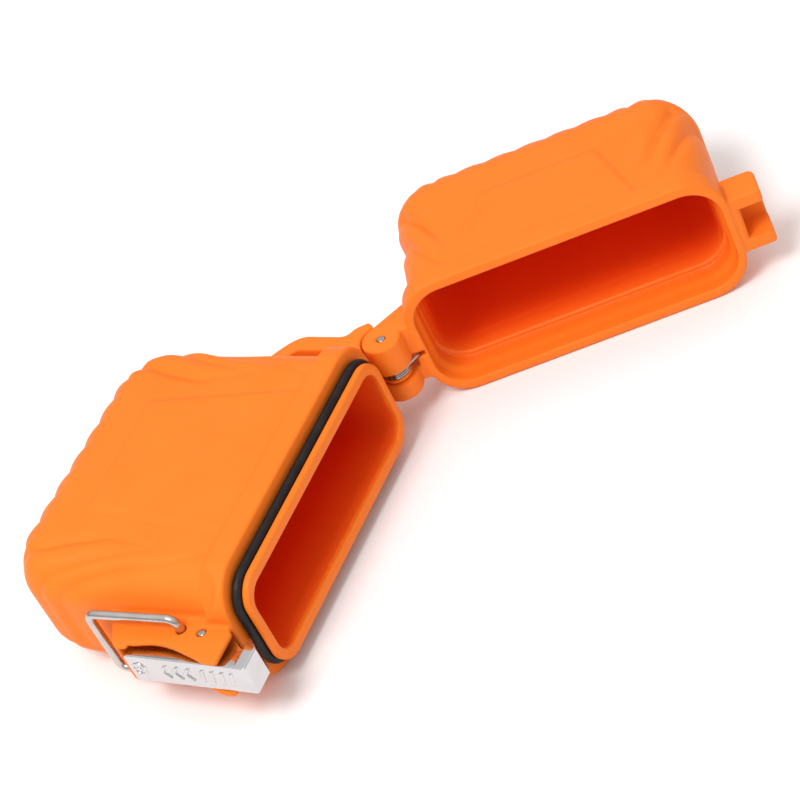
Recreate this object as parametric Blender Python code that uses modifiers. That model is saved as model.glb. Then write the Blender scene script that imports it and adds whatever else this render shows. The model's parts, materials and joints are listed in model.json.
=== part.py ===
"""Hinged waterproof case, shown with its lid open.

Case frame: x runs from the hinge axis to the latch, y points out of the body's
mouth, z is the thickness. The lid is built closed, with its mouth facing -y,
and turned open about the hinge axis. Units are metres.
"""
import math

import bmesh
import bpy
from mathutils import Vector

MM = 0.001

# Placing: the case lies on its broad back, its box centred on x = y = 0.
HINGE_X = -7.943 * MM
HINGE_Y = -7.595 * MM
MID_Z = 16.5 * MM
OPEN_ANGLE = math.radians(120.557)

# Cups: half sizes of each rounded-rectangle section, about the mouth's centre.
CENTRE_X = 44.645
WALL = (36.3, 14.9, 9.0)
FLANGE = (38.1, 16.5, 9.5)
FLANGE_DEPTH = 6.0
MOUTH_GAP = 0.05
BODY_DEPTH = 62.0
LID_DEPTH = 46.8
END_ROUND_X = 16.0
END_ROUND_Z = 10.0
BODY_SWELL = (0.9, 1.2)
LID_SWELL = (0.2, 1.6)
NECK_OUT = (34.9, 12.7, 6.3)
NECK_IN = (33.0, 9.97, 4.5)
NECK_HEIGHT = 4.1
GROOVE = (33.85, 11.4, 5.2)
GROOVE_TOP = 2.45
RECESS = (36.34, 13.88, 8.0)
RECESS_DEPTH = 8.4
LID_IN = (34.3, 12.2, 6.4)

# Seal ring
SEAL_R = 1.08
SEAL_PATH = (35.1, 12.65, 6.7)
SEAL_Y = 1.25

# Ripples across both closed ends
RIPPLE_PITCH = 7.5
RIPPLE_HEIGHT = 0.85
ARC_STEPS = 4
LONG_STEPS = 40

# Hinge
PIN_R = 1.0
BORE_R = 1.06
LUG_R = 4.7
LUG_TOP = 7.15
LUG_BOTTOM = -8.95
UPPER_LUG_FLOOR = -0.8
LOWER_LUG_ROOF = -4.6
CUP_R = 5.0
KNUCKLE_R = 3.5
KNUCKLE_TOP = -3.15
KNUCKLE_FLOOR = -4.3
SPRING_WIRE = 0.28
SPRING_R = 3.85

# Latch
LATCH_X = 84.65
LATCH_Y = -6.8
CHEEK_OUT = 5.65
CHEEK_IN = 4.45
LEVER_HALF = 4.1
CATCH_HALF = 7.8
CATCH_FRONT = 0.75
BAIL_X = 84.5
BAIL_Y = -12.0
BAIL_WIRE = 1.0
BAIL_HALF = 8.9
BAIL_BEND = 2.2
BAIL_REACH = 22.75
BAIL_ANGLE = math.radians(-88.9)


def clear_scene():
    for ob in list(bpy.data.objects):
        bpy.data.objects.remove(ob, do_unlink=True)


def make_collection(name):
    col = bpy.data.collections.new(name)
    bpy.context.scene.collection.children.link(col)
    return col


def make_material(name, colour, roughness, metallic):
    mat = bpy.data.materials.new(name)
    mat.use_nodes = True
    shader = mat.node_tree.nodes["Principled BSDF"]
    shader.inputs["Base Color"].default_value = (*colour, 1.0)
    shader.inputs["Roughness"].default_value = roughness
    shader.inputs["Metallic"].default_value = metallic
    return mat


def make_empty(name, parent, location):
    empty = bpy.data.objects.new(name, None)
    PARTS.objects.link(empty)
    empty.empty_display_size = 0.01
    empty.parent = parent
    empty.location = location
    return empty


def object_from_bmesh(name, bm, collection):
    mesh = bpy.data.meshes.new(name)
    bmesh.ops.recalc_face_normals(bm, faces=bm.faces)
    bm.to_mesh(mesh)
    bm.free()
    ob = bpy.data.objects.new(name, mesh)
    collection.objects.link(ob)
    return ob


def as_cutter(ob, parent):
    PARTS.objects.unlink(ob) if ob.name in PARTS.objects else None
    if ob.name not in CUTTERS.objects:
        CUTTERS.objects.link(ob)
    ob.hide_render = True
    ob.display_type = "WIRE"
    ob.parent = parent
    return ob


def finish_part(ob, parent, material):
    ob.parent = parent
    ob.data.materials.clear()
    ob.data.materials.append(material)
    ob.data.shade_smooth()
    ob.data.set_sharp_from_angle(angle=math.radians(32))
    return ob


def boolean(ob, other, operation):
    mod = ob.modifiers.new(other.name, "BOOLEAN")
    mod.operation = operation
    mod.object = other
    mod.solver = "EXACT"
    return mod


def rounded_section(half_x, half_z, radius, long_steps):
    """Points of a rounded rectangle, counter-clockwise seen from +y towards -y."""
    points = []
    corners = [(1, 1, 0), (-1, 1, 90), (-1, -1, 180), (1, -1, 270)]
    for sx, sz, start in corners:
        cx = sx * (half_x - radius)
        cz = sz * (half_z - radius)
        for i in range(ARC_STEPS + 1):
            a = math.radians(start + 90.0 * i / ARC_STEPS)
            points.append((cx + radius * math.cos(a), cz + radius * math.sin(a)))
        if sx == sz:
            span = 2.0 * (half_x - radius)
            for i in range(1, long_steps):
                step = span * i / long_steps
                points.append((cx - sx * step, sz * half_z))
    return points


def ripple(x):
    """Rounded crests with sharp valleys, 0 at a crest and 1 in a valley."""
    return 1.0 - abs(math.cos(math.pi * x / RIPPLE_PITCH))


def section_ring(bm, sign, y, half_x, half_z, radius, wave, hinge_out=0.0, latch_out=0.0):
    ring = []
    for x, z in rounded_section(half_x, half_z, radius, LONG_STEPS):
        dy = sign * wave * ripple(x) * RIPPLE_HEIGHT
        dx = latch_out * max(x, 0.0) / half_x + hinge_out * min(x, 0.0) / half_x
        co = Vector((CENTRE_X + x + dx, y + dy, z)) * MM
        ring.append(bm.verts.new(co))
    return ring


def cap_ring(bm, ring, long_steps):
    """Closes a section with strips between its +z half and its -z half."""
    arc = ARC_STEPS + 1
    top = ring[0:arc + long_steps - 1 + arc]
    bottom = ring[len(top):]
    bottom.reverse()
    for i in range(len(top) - 1):
        bm.faces.new((top[i], top[i + 1], bottom[i + 1], bottom[i]))


def loft_cup(name, sections, sign):
    """One closed skin through a list of sections, each as section_ring takes it."""
    bm = bmesh.new()
    rings = [section_ring(bm, sign, *section) for section in sections]
    for low, high in zip(rings, rings[1:]):
        count = len(low)
        for i in range(count):
            j = (i + 1) % count
            bm.faces.new((low[i], low[j], high[j], high[i]))
    cap_ring(bm, rings[0], LONG_STEPS)
    cap_ring(bm, rings[-1], LONG_STEPS)
    flat = math.radians(0.2)
    bmesh.ops.dissolve_limit(bm, angle_limit=flat, verts=bm.verts, edges=bm.edges)
    return object_from_bmesh(name, bm, PARTS)


def round_inset(radius, from_end):
    """How far a quarter round has drawn in, at a distance from the closed end."""
    if from_end >= radius:
        return 0.0
    return radius - math.sqrt(radius * radius - (radius - from_end) ** 2)


def closed_end_sections(depth, sign, swell):
    """Sections from the closed end's flat to the side walls, which swell a little.

    swell holds two amounts, one for the hinge side and one for the latch side.
    """
    sections = []
    steps = ((0.0, 1.0), (0.7, 1.0), (2.4, 0.85), (5.0, 0.5), (8.5, 0.2), (12.5, 0.0),
             (END_ROUND_X, 0.0))
    for from_end, wave in steps:
        in_x = round_inset(END_ROUND_X, from_end)
        in_z = round_inset(END_ROUND_Z, from_end)
        out = [amount * from_end / END_ROUND_X for amount in swell]
        radius = max(WALL[2] - 0.85 * in_z, 0.6)
        half = (WALL[0] - in_x, WALL[1] - in_z)
        sections.append((sign * (depth - from_end), *half, radius, wave, *out))
    return sections


def flange_sections(sign):
    depth = FLANGE_DEPTH
    return [
        (sign * (depth + 1.6), WALL[0], WALL[1], WALL[2], 0.0),
        (sign * (depth + 0.7), WALL[0] + 0.35, WALL[1] + 0.3, WALL[2], 0.0),
        (sign * (depth + 0.2), WALL[0] + 1.1, WALL[1] + 0.95, WALL[2] + 0.2, 0.0),
        (sign * depth, *FLANGE, 0.0),
        (sign * 0.85, *FLANGE, 0.0),
        (sign * 0.3, FLANGE[0] - 0.22, FLANGE[1] - 0.22, FLANGE[2] - 0.2, 0.0),
        (sign * MOUTH_GAP, FLANGE[0] - 0.8, FLANGE[1] - 0.8, FLANGE[2] - 0.7, 0.0),
    ]


def make_body_cup():
    sections = closed_end_sections(BODY_DEPTH, -1.0, BODY_SWELL)
    sections.append((-40.0, *WALL, 0.0, *BODY_SWELL))
    sections.append((-33.0, *WALL, 0.0, -0.3, 0.2))
    sections += flange_sections(-1.0)
    sections += [
        (-MOUTH_GAP, *GROOVE, 0.0),
        (GROOVE_TOP, *GROOVE, 0.0),
        (GROOVE_TOP, *NECK_OUT, 0.0),
        (NECK_HEIGHT - 0.5, *NECK_OUT, 0.0),
        (NECK_HEIGHT, NECK_OUT[0] - 0.5, NECK_OUT[1] - 0.5, NECK_OUT[2] - 0.4, 0.0),
        (NECK_HEIGHT, NECK_IN[0] + 0.4, NECK_IN[1] + 0.4, NECK_IN[2] + 0.4, 0.0),
        (NECK_HEIGHT - 0.4, *NECK_IN, 0.0),
        (-56.5, NECK_IN[0] - 0.5, NECK_IN[1] - 0.3, NECK_IN[2], 0.0),
        (-59.0, NECK_IN[0] - 3.0, NECK_IN[1] - 2.8, NECK_IN[2] - 1.0, 0.0),
    ]
    return loft_cup("body_shell", sections, 1.0)


def make_lid_cup():
    sections = closed_end_sections(LID_DEPTH, 1.0, LID_SWELL)
    sections.append((24.0, *WALL, 0.0, *LID_SWELL))
    sections.append((15.0, *WALL, 0.0, 0.0, 0.9))
    sections += flange_sections(1.0)
    sections += [
        (MOUTH_GAP, RECESS[0] + 0.4, RECESS[1] + 0.4, RECESS[2] + 0.3, 0.0),
        (0.45, *RECESS, 0.0),
        (2.7, RECESS[0] - 0.05, RECESS[1] - 0.05, RECESS[2], 0.0),
        (5.0, RECESS[0] - 0.9, RECESS[1] - 0.2, RECESS[2] - 0.3, 0.0),
        (RECESS_DEPTH - 0.9, RECESS[0] - 1.0, RECESS[1] - 0.4, RECESS[2] - 0.4, 0.0),
        (RECESS_DEPTH, *LID_IN, 0.0),
        (41.4, LID_IN[0] - 0.5, LID_IN[1] - 0.4, LID_IN[2], 0.0),
        (43.9, LID_IN[0] - 3.0, LID_IN[1] - 2.9, LID_IN[2] - 1.5, 0.0),
    ]
    return loft_cup("lid_shell", sections, -1.0)


def curve_to_mesh(ob):
    """Turns a curve object into a closed mesh object of the same name."""
    bpy.context.view_layer.update()
    graph = bpy.context.evaluated_depsgraph_get()
    mesh = bpy.data.meshes.new_from_object(ob.evaluated_get(graph))
    bm = bmesh.new()
    bm.from_mesh(mesh)
    bmesh.ops.remove_doubles(bm, verts=bm.verts, dist=1e-6)
    bmesh.ops.recalc_face_normals(bm, faces=bm.faces)
    bm.to_mesh(mesh)
    bm.free()
    name = ob.name
    matrix = ob.matrix_world.copy()
    curve = ob.data
    bpy.data.objects.remove(ob, do_unlink=True)
    bpy.data.curves.remove(curve)
    made = bpy.data.objects.new(name, mesh)
    made.matrix_world = matrix
    PARTS.objects.link(made)
    return made


def plate(name, outline, z_low, z_high):
    """A flat outline in x and y, thick from z_low to z_high."""
    curve = bpy.data.curves.new(name, "CURVE")
    curve.dimensions = "2D"
    curve.fill_mode = "BOTH"
    curve.extrude = 0.5 * (z_high - z_low) * MM
    spline = curve.splines.new("POLY")
    spline.points.add(len(outline) - 1)
    for point, (x, y) in zip(spline.points, outline):
        point.co = (x * MM, y * MM, 0.0, 1.0)
    spline.use_cyclic_u = True
    ob = bpy.data.objects.new(name, curve)
    ob.location = (0.0, 0.0, 0.5 * (z_low + z_high) * MM)
    PARTS.objects.link(ob)
    made = curve_to_mesh(ob)
    made.data.transform(made.matrix_world)
    made.matrix_world.identity()
    return made


def cylinder(name, x, y, z_low, z_high, radius, sides, collection):
    bm = bmesh.new()
    bmesh.ops.create_cone(bm, cap_ends=True, segments=sides, radius1=radius * MM,
                          radius2=radius * MM, depth=(z_high - z_low) * MM)
    middle = Vector((x, y, 0.5 * (z_low + z_high))) * MM
    bmesh.ops.translate(bm, verts=bm.verts, vec=middle)
    return object_from_bmesh(name, bm, collection)


def block(name, low, high, collection):
    bm = bmesh.new()
    bmesh.ops.create_cube(bm, size=1.0)
    size = [(b - a) * MM for a, b in zip(low, high)]
    middle = Vector([0.5 * (a + b) for a, b in zip(low, high)]) * MM
    bmesh.ops.scale(bm, verts=bm.verts, vec=size)
    bmesh.ops.translate(bm, verts=bm.verts, vec=middle)
    return object_from_bmesh(name, bm, collection)


def add_solid(target, ob, parent):
    as_cutter(ob, parent)
    boolean(target, ob, "UNION")


def cut_solid(target, ob, parent):
    as_cutter(ob, parent)
    boolean(target, ob, "DIFFERENCE")


def arc_points(x, y, radius, start, end, steps):
    points = []
    for i in range(steps + 1):
        a = math.radians(start + (end - start) * i / steps)
        points.append((x + radius * math.cos(a), y + radius * math.sin(a)))
    return points


def add_hinge_bracket(body, parent):
    """Half cup round the lid's lugs, with the lanyard arch behind it."""
    outline = arc_points(0.0, 0.0, CUP_R, 226.5, 318.0, 10)
    outline += [(5.6, -3.4), (9.5, -3.4), (9.5, -11.2)]
    outline += [(5.4, -11.6), (4.0, -12.9), (4.0, -20.2), (4.8, -21.4)]
    outline += [(6.6, -22.4), (9.5, -23.0), (9.5, -28.6), (7.4, -27.6)]
    outline += [(4.8, -26.3), (2.0, -23.9), (0.4, -22.0), (-0.3, -20.6)]
    outline += [(-0.5, -19.0), (-0.5, -11.0), (-0.6, -9.4), (-2.8, -8.4)]
    outline += [(-4.2, -7.2), (-5.0, -5.6), (-4.7, -4.9)]
    arm = plate("hinge_bracket_arm", outline, LUG_BOTTOM, LUG_TOP)
    add_solid(body, arm, parent)
    tongue = arc_points(0.0, 0.0, KNUCKLE_R, -32.0, 212.0, 18)
    tongue += [(-3.4, -5.6), (4.2, -5.6)]
    knuckle = plate("hinge_knuckle", tongue, KNUCKLE_FLOOR, KNUCKLE_TOP)
    add_solid(body, knuckle, parent)
    bore = cylinder("knuckle_bore", 0, 0, -6, -1, BORE_R, 20, CUTTERS)
    cut_solid(body, bore, parent)


def cheek_outline():
    return [
        (79.4, -4.4), (81.9, -1.9), (84.6, 0.6), (91.7, 0.6), (92.3, 0.0), (92.2, -3.3),
        (91.3, -5.4), (90.3, -8.5), (89.4, -11.4), (88.7, -14.4), (88.5, -17.4),
        (89.2, -20.9), (90.6, -23.7), (91.4, -24.8), (91.4, -25.6), (90.4, -26.9),
        (87.7, -28.6), (83.2, -30.7), (79.4, -32.0),
    ]


def add_latch_housing(body, parent):
    """Two cheeks joined at the tail, holding the lever's pin and the bail."""
    housing = plate("latch_housing", cheek_outline(), -CHEEK_OUT, CHEEK_OUT)
    add_solid(body, housing, parent)
    pocket = plate("lever_pocket", [
        (81.6, -25.8), (95.0, -25.8), (95.0, 2.0), (82.9, 2.0), (82.9, -3.2),
        (81.9, -3.8), (81.6, -9.5),
    ], -CHEEK_IN, CHEEK_IN)
    cut_solid(body, pocket, parent)
    pin_bore = cylinder("latch_bore", LATCH_X, LATCH_Y, -8, 8, BORE_R, 20, CUTTERS)
    cut_solid(body, pin_bore, parent)
    bail_bore = cylinder("bail_bore", BAIL_X, BAIL_Y, -8, 8, BAIL_WIRE + 0.12, 16, CUTTERS)
    cut_solid(body, bail_bore, parent)


def arm_outline():
    """The lid's hinge arm seen along the pin, back edge tangent to the lug."""
    outline = arc_points(0.0, 0.0, LUG_R, 121.9, 360.0, 24)
    outline += [(LUG_R, MOUTH_GAP), (7.4, MOUTH_GAP), (7.4, 5.6), (8.9, 7.4), (8.9, 9.6)]
    outline += [(8.0, 10.1), (6.4, 9.28)]
    return outline


def add_hinge_lugs(lid, parent):
    upper = plate("upper_lug", arm_outline(), UPPER_LUG_FLOOR, LUG_TOP)
    lower = plate("lower_lug", arm_outline(), LUG_BOTTOM, LOWER_LUG_ROOF)
    web_outline = [(5.4, MOUTH_GAP), (7.4, MOUTH_GAP), (7.4, 5.6), (8.9, 7.4), (8.9, 9.6),
                   (8.0, 10.1), (5.4, 8.6)]
    web = plate("lug_web", web_outline, LOWER_LUG_ROOF - 1.0, UPPER_LUG_FLOOR + 1.0)
    for piece in (upper, lower, web):
        add_solid(lid, piece, parent)
    slot = block("spring_slot", (5.0, -0.5, -2.2), (7.7, 1.7, -0.7), CUTTERS)
    cut_solid(lid, slot, parent)
    bore = cylinder("lug_bore", 0, 0, -12, 12, BORE_R, 20, CUTTERS)
    cut_solid(lid, bore, parent)


def add_catch(lid, parent):
    """Open bracket with a ramped ledge that the lever's barb hooks behind."""
    outline = [(81.8, CATCH_FRONT), (89.9, CATCH_FRONT), (90.4, 1.3), (90.4, 8.0),
               (89.9, 8.9), (89.0, 9.2), (80.7, 9.2), (80.7, 7.4), (81.8, 5.6)]
    bracket = plate("catch_bracket", outline, -CATCH_HALF, CATCH_HALF)
    add_solid(lid, bracket, parent)
    pocket = plate("catch_pocket", [
        (83.3, -1.0), (83.3, 0.0), (84.7, 1.4), (84.7, 3.2), (82.4, 3.2),
        (82.4, 7.9), (95.0, 7.9), (95.0, -1.0),
    ], -CHEEK_IN, CHEEK_IN)
    cut_solid(lid, pocket, parent)


def lever_outline():
    return [
        (91.7, -24.6), (91.7, 6.4), (91.2, 6.9), (86.5, 6.9), (85.2, 5.8),
        (83.8, 4.6), (83.7, 3.6), (86.4, 3.5), (84.6, 0.6), (83.6, -2.4),
        (83.2, -4.4), (82.3, -6.0), (82.3, -7.7), (83.3, -9.1), (85.0, -9.5),
        (86.9, -9.6), (87.9, -10.6), (88.5, -12.4), (88.6, -24.6),
    ]


def make_lever(parent):
    lever = plate("latch_lever", lever_outline(), -LEVER_HALF, LEVER_HALF)
    slot = block("lever_spring_slot", (80.0, -10.2, -1.3), (87.2, -3.9, 1.3), CUTTERS)
    cut_solid(lever, slot, parent)
    bore = cylinder("lever_bore", LATCH_X, LATCH_Y, -8, 8, BORE_R, 20, CUTTERS)
    cut_solid(lever, bore, parent)
    return lever


def make_pin(name, x, y, z_low, z_high, parent):
    bm = bmesh.new()
    bmesh.ops.create_cone(bm, cap_ends=True, segments=20, radius1=PIN_R * MM,
                          radius2=PIN_R * MM, depth=(z_high - z_low) * MM)
    pin = object_from_bmesh(name, bm, PARTS)
    pin.location = Vector((x, y, 0.5 * (z_low + z_high))) * MM
    edge = pin.modifiers.new("edge", "BEVEL")
    edge.width = 0.2 * MM
    edge.segments = 1
    edge.limit_method = "ANGLE"
    return finish_part(pin, parent, STEEL)


def wire_object(name, points, radius, cyclic, resolution):
    curve = bpy.data.curves.new(name, "CURVE")
    curve.dimensions = "3D"
    curve.bevel_depth = radius * MM
    curve.bevel_resolution = resolution
    curve.use_fill_caps = not cyclic
    spline = curve.splines.new("POLY")
    spline.points.add(len(points) - 1)
    for point, co in zip(spline.points, points):
        point.co = (co[0] * MM, co[1] * MM, co[2] * MM, 1.0)
    spline.use_cyclic_u = cyclic
    ob = bpy.data.objects.new(name, curve)
    PARTS.objects.link(ob)
    return curve_to_mesh(ob)


def make_seal(parent):
    """Round cord bent into a ring that sits in the groove of the neck."""
    points = []
    for x, z in rounded_section(*SEAL_PATH, 8):
        points.append((CENTRE_X + x, SEAL_Y, z))
    seal = wire_object("neck_seal", points, SEAL_R, True, 1)
    return finish_part(seal, parent, RUBBER)


def make_hinge_spring(parent):
    """Torsion coil round the hinge pin, one leg in the lid, one on the body."""
    lead = math.radians(-64.0)
    leave = math.radians(72.4)
    sweep = leave - lead + 2.0 * math.pi * 2.0
    low = -2.8
    rise = 1.45
    steps = 30
    points = []
    for i in range(steps + 1):
        a = lead + sweep * i / steps
        z = low + rise * i / steps
        points.append((SPRING_R * math.cos(a), SPRING_R * math.sin(a), z))
    foot = (points[0][0] + 2.3 * math.sin(lead), points[0][1] - 2.3 * math.cos(lead), low)
    slot_x = 6.6 * math.cos(OPEN_ANGLE) - 0.75 * math.sin(OPEN_ANGLE)
    slot_y = 6.6 * math.sin(OPEN_ANGLE) + 0.75 * math.cos(OPEN_ANGLE)
    points.insert(0, foot)
    points.append((slot_x, slot_y, low + rise))
    spring = wire_object("hinge_spring", points, SPRING_WIRE, False, 1)
    return finish_part(spring, parent, STEEL)


def make_latch_spring(parent):
    """Small torsion coil round the latch pin, in the lever's slot."""
    points = [(LATCH_X - 2.2, LATCH_Y - 4.6, -0.75)]
    turns = 2.5
    steps = 26
    for i in range(steps + 1):
        a = math.radians(180.0) + 2.0 * math.pi * turns * i / steps
        z = -0.75 + 1.5 * i / steps
        x = LATCH_X + 1.65 * math.cos(a)
        y = LATCH_Y + 1.65 * math.sin(a)
        points.append((x, y, z))
    points.append((LATCH_X + 1.65, LATCH_Y - 2.6, 0.75))
    spring = wire_object("latch_spring", points, 0.24, False, 1)
    return finish_part(spring, parent, STEEL)


def make_bail(parent):
    """Closed wire loop whose inner bar turns in the housing's cross hole."""
    path = []
    bends = [(0.0, 1.0, 180.0), (BAIL_REACH, 1.0, 90.0),
             (BAIL_REACH, -1.0, 0.0), (0.0, -1.0, -90.0)]
    for along, side, start in bends:
        u = BAIL_BEND if along == 0.0 else along - BAIL_BEND
        v = side * (BAIL_HALF - BAIL_BEND)
        for i in range(5):
            a = math.radians(start - 22.5 * i)
            path.append((u + BAIL_BEND * math.cos(a), v + BAIL_BEND * math.sin(a)))
    points = []
    for along, z in path:
        points.append((along, 0.0, z))
    bail = wire_object("bail_ring", points, BAIL_WIRE, True, 2)
    bail.rotation_euler = (0.0, 0.0, BAIL_ANGLE)
    return finish_part(bail, parent, STEEL)


clear_scene()
PARTS = make_collection("waterproof_hinged_case")
CUTTERS = make_collection("cutters")
ORANGE = make_material("orange_plastic", (0.95, 0.27, 0.03), 0.5, 0.0)
RUBBER = make_material("black_rubber", (0.02, 0.018, 0.018), 0.6, 0.0)
CHROME = make_material("chrome", (0.85, 0.85, 0.86), 0.08, 1.0)
STEEL = make_material("steel_wire", (0.68, 0.66, 0.64), 0.28, 1.0)

case = make_empty("case_frame", None, (HINGE_X, HINGE_Y, MID_Z))
hinge = make_empty("hinge_axis", case, (0.0, 0.0, 0.0))
hinge.rotation_euler = (0.0, 0.0, OPEN_ANGLE)
latch = make_empty("latch_axis", case, (LATCH_X * MM, LATCH_Y * MM, 0.0))
latch_home = make_empty("latch_home", latch, (-LATCH_X * MM, -LATCH_Y * MM, 0.0))
bail_axis = make_empty("bail_axis", case, (BAIL_X * MM, BAIL_Y * MM, 0.0))

body_shell = make_body_cup()
add_hinge_bracket(body_shell, case)
add_latch_housing(body_shell, case)
finish_part(body_shell, case, ORANGE)

lid_shell = make_lid_cup()
add_hinge_lugs(lid_shell, hinge)
add_catch(lid_shell, hinge)
finish_part(lid_shell, hinge, ORANGE)

lever = make_lever(latch_home)
finish_part(lever, latch_home, CHROME)

make_pin("hinge_pin", 0.0, 0.0, -8.6, 7.0, case)
make_pin("latch_pin", LATCH_X, LATCH_Y, -5.5, 5.5, case)
make_seal(case)
make_hinge_spring(case)
make_latch_spring(case)
make_bail(bail_axis)
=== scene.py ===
"""Looks for the hinged waterproof case: fine moulded shells, plated lever, wire and seal.

Lengths inside the builders are millimetres in the case frame: x from the hinge
axis to the latch, y out of the body's mouth, z through the thickness.
"""
import json
import math

import bmesh
import bpy
import numpy as np
from mathutils import Matrix, Quaternion, Vector


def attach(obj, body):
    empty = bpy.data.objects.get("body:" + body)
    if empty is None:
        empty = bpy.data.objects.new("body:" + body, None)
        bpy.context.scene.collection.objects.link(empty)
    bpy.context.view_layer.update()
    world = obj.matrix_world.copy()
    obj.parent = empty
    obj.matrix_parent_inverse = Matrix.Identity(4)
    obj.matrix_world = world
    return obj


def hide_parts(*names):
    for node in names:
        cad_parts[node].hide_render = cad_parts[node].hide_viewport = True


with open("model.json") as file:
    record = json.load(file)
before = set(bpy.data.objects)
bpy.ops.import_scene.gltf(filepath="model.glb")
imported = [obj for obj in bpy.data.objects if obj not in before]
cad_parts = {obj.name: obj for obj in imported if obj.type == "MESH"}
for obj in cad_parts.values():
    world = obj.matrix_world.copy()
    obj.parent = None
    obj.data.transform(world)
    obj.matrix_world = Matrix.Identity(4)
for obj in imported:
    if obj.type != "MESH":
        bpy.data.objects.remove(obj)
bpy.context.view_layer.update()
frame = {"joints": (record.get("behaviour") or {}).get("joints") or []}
MM = 0.001

JOINTS = {joint["name"]: joint for joint in frame["joints"]}
ORIGIN = Vector(JOINTS["lid_hinge"]["pos_m"])
OPEN_ANGLE = -math.radians(JOINTS["lid_hinge"]["range_deg"][0])
CASE = Matrix.Translation(ORIGIN) @ Matrix.Scale(MM, 4)
LID = Matrix.Translation(ORIGIN) @ Matrix.Rotation(OPEN_ANGLE, 4, "Z") @ Matrix.Scale(MM, 4)

# Shell sections: half width, half thickness, corner radius
CENTRE_X = 44.645
WALL = (36.3, 14.9, 9.0)
FLANGE = (38.1, 16.5, 9.5)
FLANGE_DEPTH = 6.0
MOUTH_GAP = 0.05
BODY_DEPTH = 62.0
LID_DEPTH = 46.8
END_ROUND_X = 16.0
NECK_OUT = (34.9, 12.7, 6.3)
NECK_IN = (33.0, 9.97, 4.5)
NECK_HEIGHT = 4.1
GROOVE = (33.85, 11.4, 5.2)
GROOVE_TOP = 2.45
RECESS = (36.34, 13.88, 8.0)
RECESS_DEPTH = 8.4
BODY_FLOOR = 59.0
BODY_DRAFT = -0.006
LID_FLOOR = 43.9
LID_DRAFT = 0.012
CAVITY_ROUND_X = 14.0
BODY_CAVITY_ROUND_Z = 7.0
LID_CAVITY_ROUND_Z = 8.0
BODY_END_ROUND_Z = 10.0
LID_END_ROUND_Z = 11.6
SHELL_EDGE = 0.75
FLANGE_FILLET = 1.7
LID_IN = (34.3, 12.2, 6.4)
SEAL_PATH = (35.1, 12.65, 6.7)
SEAL_Y = 1.25
SEAL_R = 1.08

# Moulded relief on the shells: end ripples, sweeping grooves, raised panels
RIPPLE_PITCH = 7.5
RIPPLE_HEIGHT = 0.85
BODY_GROOVE_DEEP = 1.1
LID_GROOVE_DEEP = 1.5
PANEL_HIGH = 0.5

# Hinge
BORE_R = 1.06
PIN_R = 1.0
LUG_R = 4.7
LUG_TOP = 7.15
LUG_BOTTOM = -8.95
UPPER_LUG_FLOOR = -0.8
LOWER_LUG_ROOF = -4.6
SINK = 0.45

# Latch
LATCH_X = 84.65
LATCH_Y = -6.8
CHEEK_OUT = 5.65
CHEEK_IN = 4.45
LEVER_HALF = 4.1
CATCH_HALF = 7.8
CATCH_FRONT = 0.75
BAIL_X = 84.5
BAIL_Y = -12.0
BAIL_WIRE = 1.0
BAIL_HALF = 8.9
BAIL_BEND = 2.2
BAIL_REACH = 22.75
BAIL_ANGLE = math.radians(-88.9)
LEVER_FACE_X = 91.33
LEVER_TAIL_Y = -24.6


# ---------------------------------------------------------------- field tools

def rounded_rect(a, b, half_a, half_b, radius):
    """Distance to a rectangle with rounded corners, negative inside."""
    qa = np.abs(a) - (half_a - radius)
    qb = np.abs(b) - (half_b - radius)
    outside = np.hypot(np.maximum(qa, 0), np.maximum(qb, 0))
    return outside + np.minimum(np.maximum(qa, qb), 0) - radius


def cut_round(a, b, radius):
    """Where two fields overlap, with the edge between them rounded."""
    near = np.hypot(np.maximum(a + radius, 0), np.maximum(b + radius, 0))
    return np.minimum(np.maximum(a, b), -radius) + near


def join_fillet(a, b, radius):
    """Both fields together, with a fillet where they meet."""
    near = np.hypot(np.maximum(radius - a, 0), np.maximum(radius - b, 0))
    return np.maximum(np.minimum(a, b), radius) - near


def outline_field(x, y, outline):
    """Distance to a closed polygon, negative inside."""
    nearest = np.full(np.shape(x), 1e9)
    inside = np.zeros(np.shape(x), bool)
    previous = outline[-1]
    for current in outline:
        ex, ey = current[0] - previous[0], current[1] - previous[1]
        px, py = x - previous[0], y - previous[1]
        t = np.clip((px * ex + py * ey) / (ex * ex + ey * ey), 0.0, 1.0)
        nearest = np.minimum(nearest, (px - t * ex) ** 2 + (py - t * ey) ** 2)
        crosses = (previous[1] > y) != (current[1] > y)
        if ey != 0.0:
            inside ^= crosses & (x < previous[0] + (y - previous[1]) * ex / ey)
        previous = current
    distance = np.sqrt(nearest)
    return np.where(inside, -distance, distance)


def slab(z, low, high):
    """Negative between low and high."""
    return np.abs(z - 0.5 * (low + high)) - 0.5 * (high - low)


def plate(x, y, z, outline, low, high, edge):
    """An outline in x and y made solid from low to high in z, its edges rounded."""
    return cut_round(outline_field(x, y, outline), slab(z, low, high), edge)


def smooth(outline, steps=5):
    """A closed curve through the outline's points."""
    points = [np.array(p, float) for p in outline]
    count = len(points)
    made = []
    for i in range(count):
        a, b, c, d = (points[(i + k) % count] for k in (-1, 0, 1, 2))
        for step in range(steps):
            t = step / steps
            p = b + 0.5 * t * ((c - a) + t * ((2 * a - 5 * b + 4 * c - d)
                                             + t * (3 * (b - c) + d - a)))
            made.append((float(p[0]), float(p[1])))
    return made


def arc_points(x, y, radius, start, end, steps):
    """Points along an arc, with its angles in degrees."""
    angles = [math.radians(start + (end - start) * i / steps) for i in range(steps + 1)]
    return [(x + radius * math.cos(a), y + radius * math.sin(a)) for a in angles]


def smoothstep(low, high, value):
    """Eases from 0 at low to 1 at high."""
    t = np.clip((value - low) / (high - low), 0.0, 1.0)
    return t * t * (3.0 - 2.0 * t)


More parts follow.
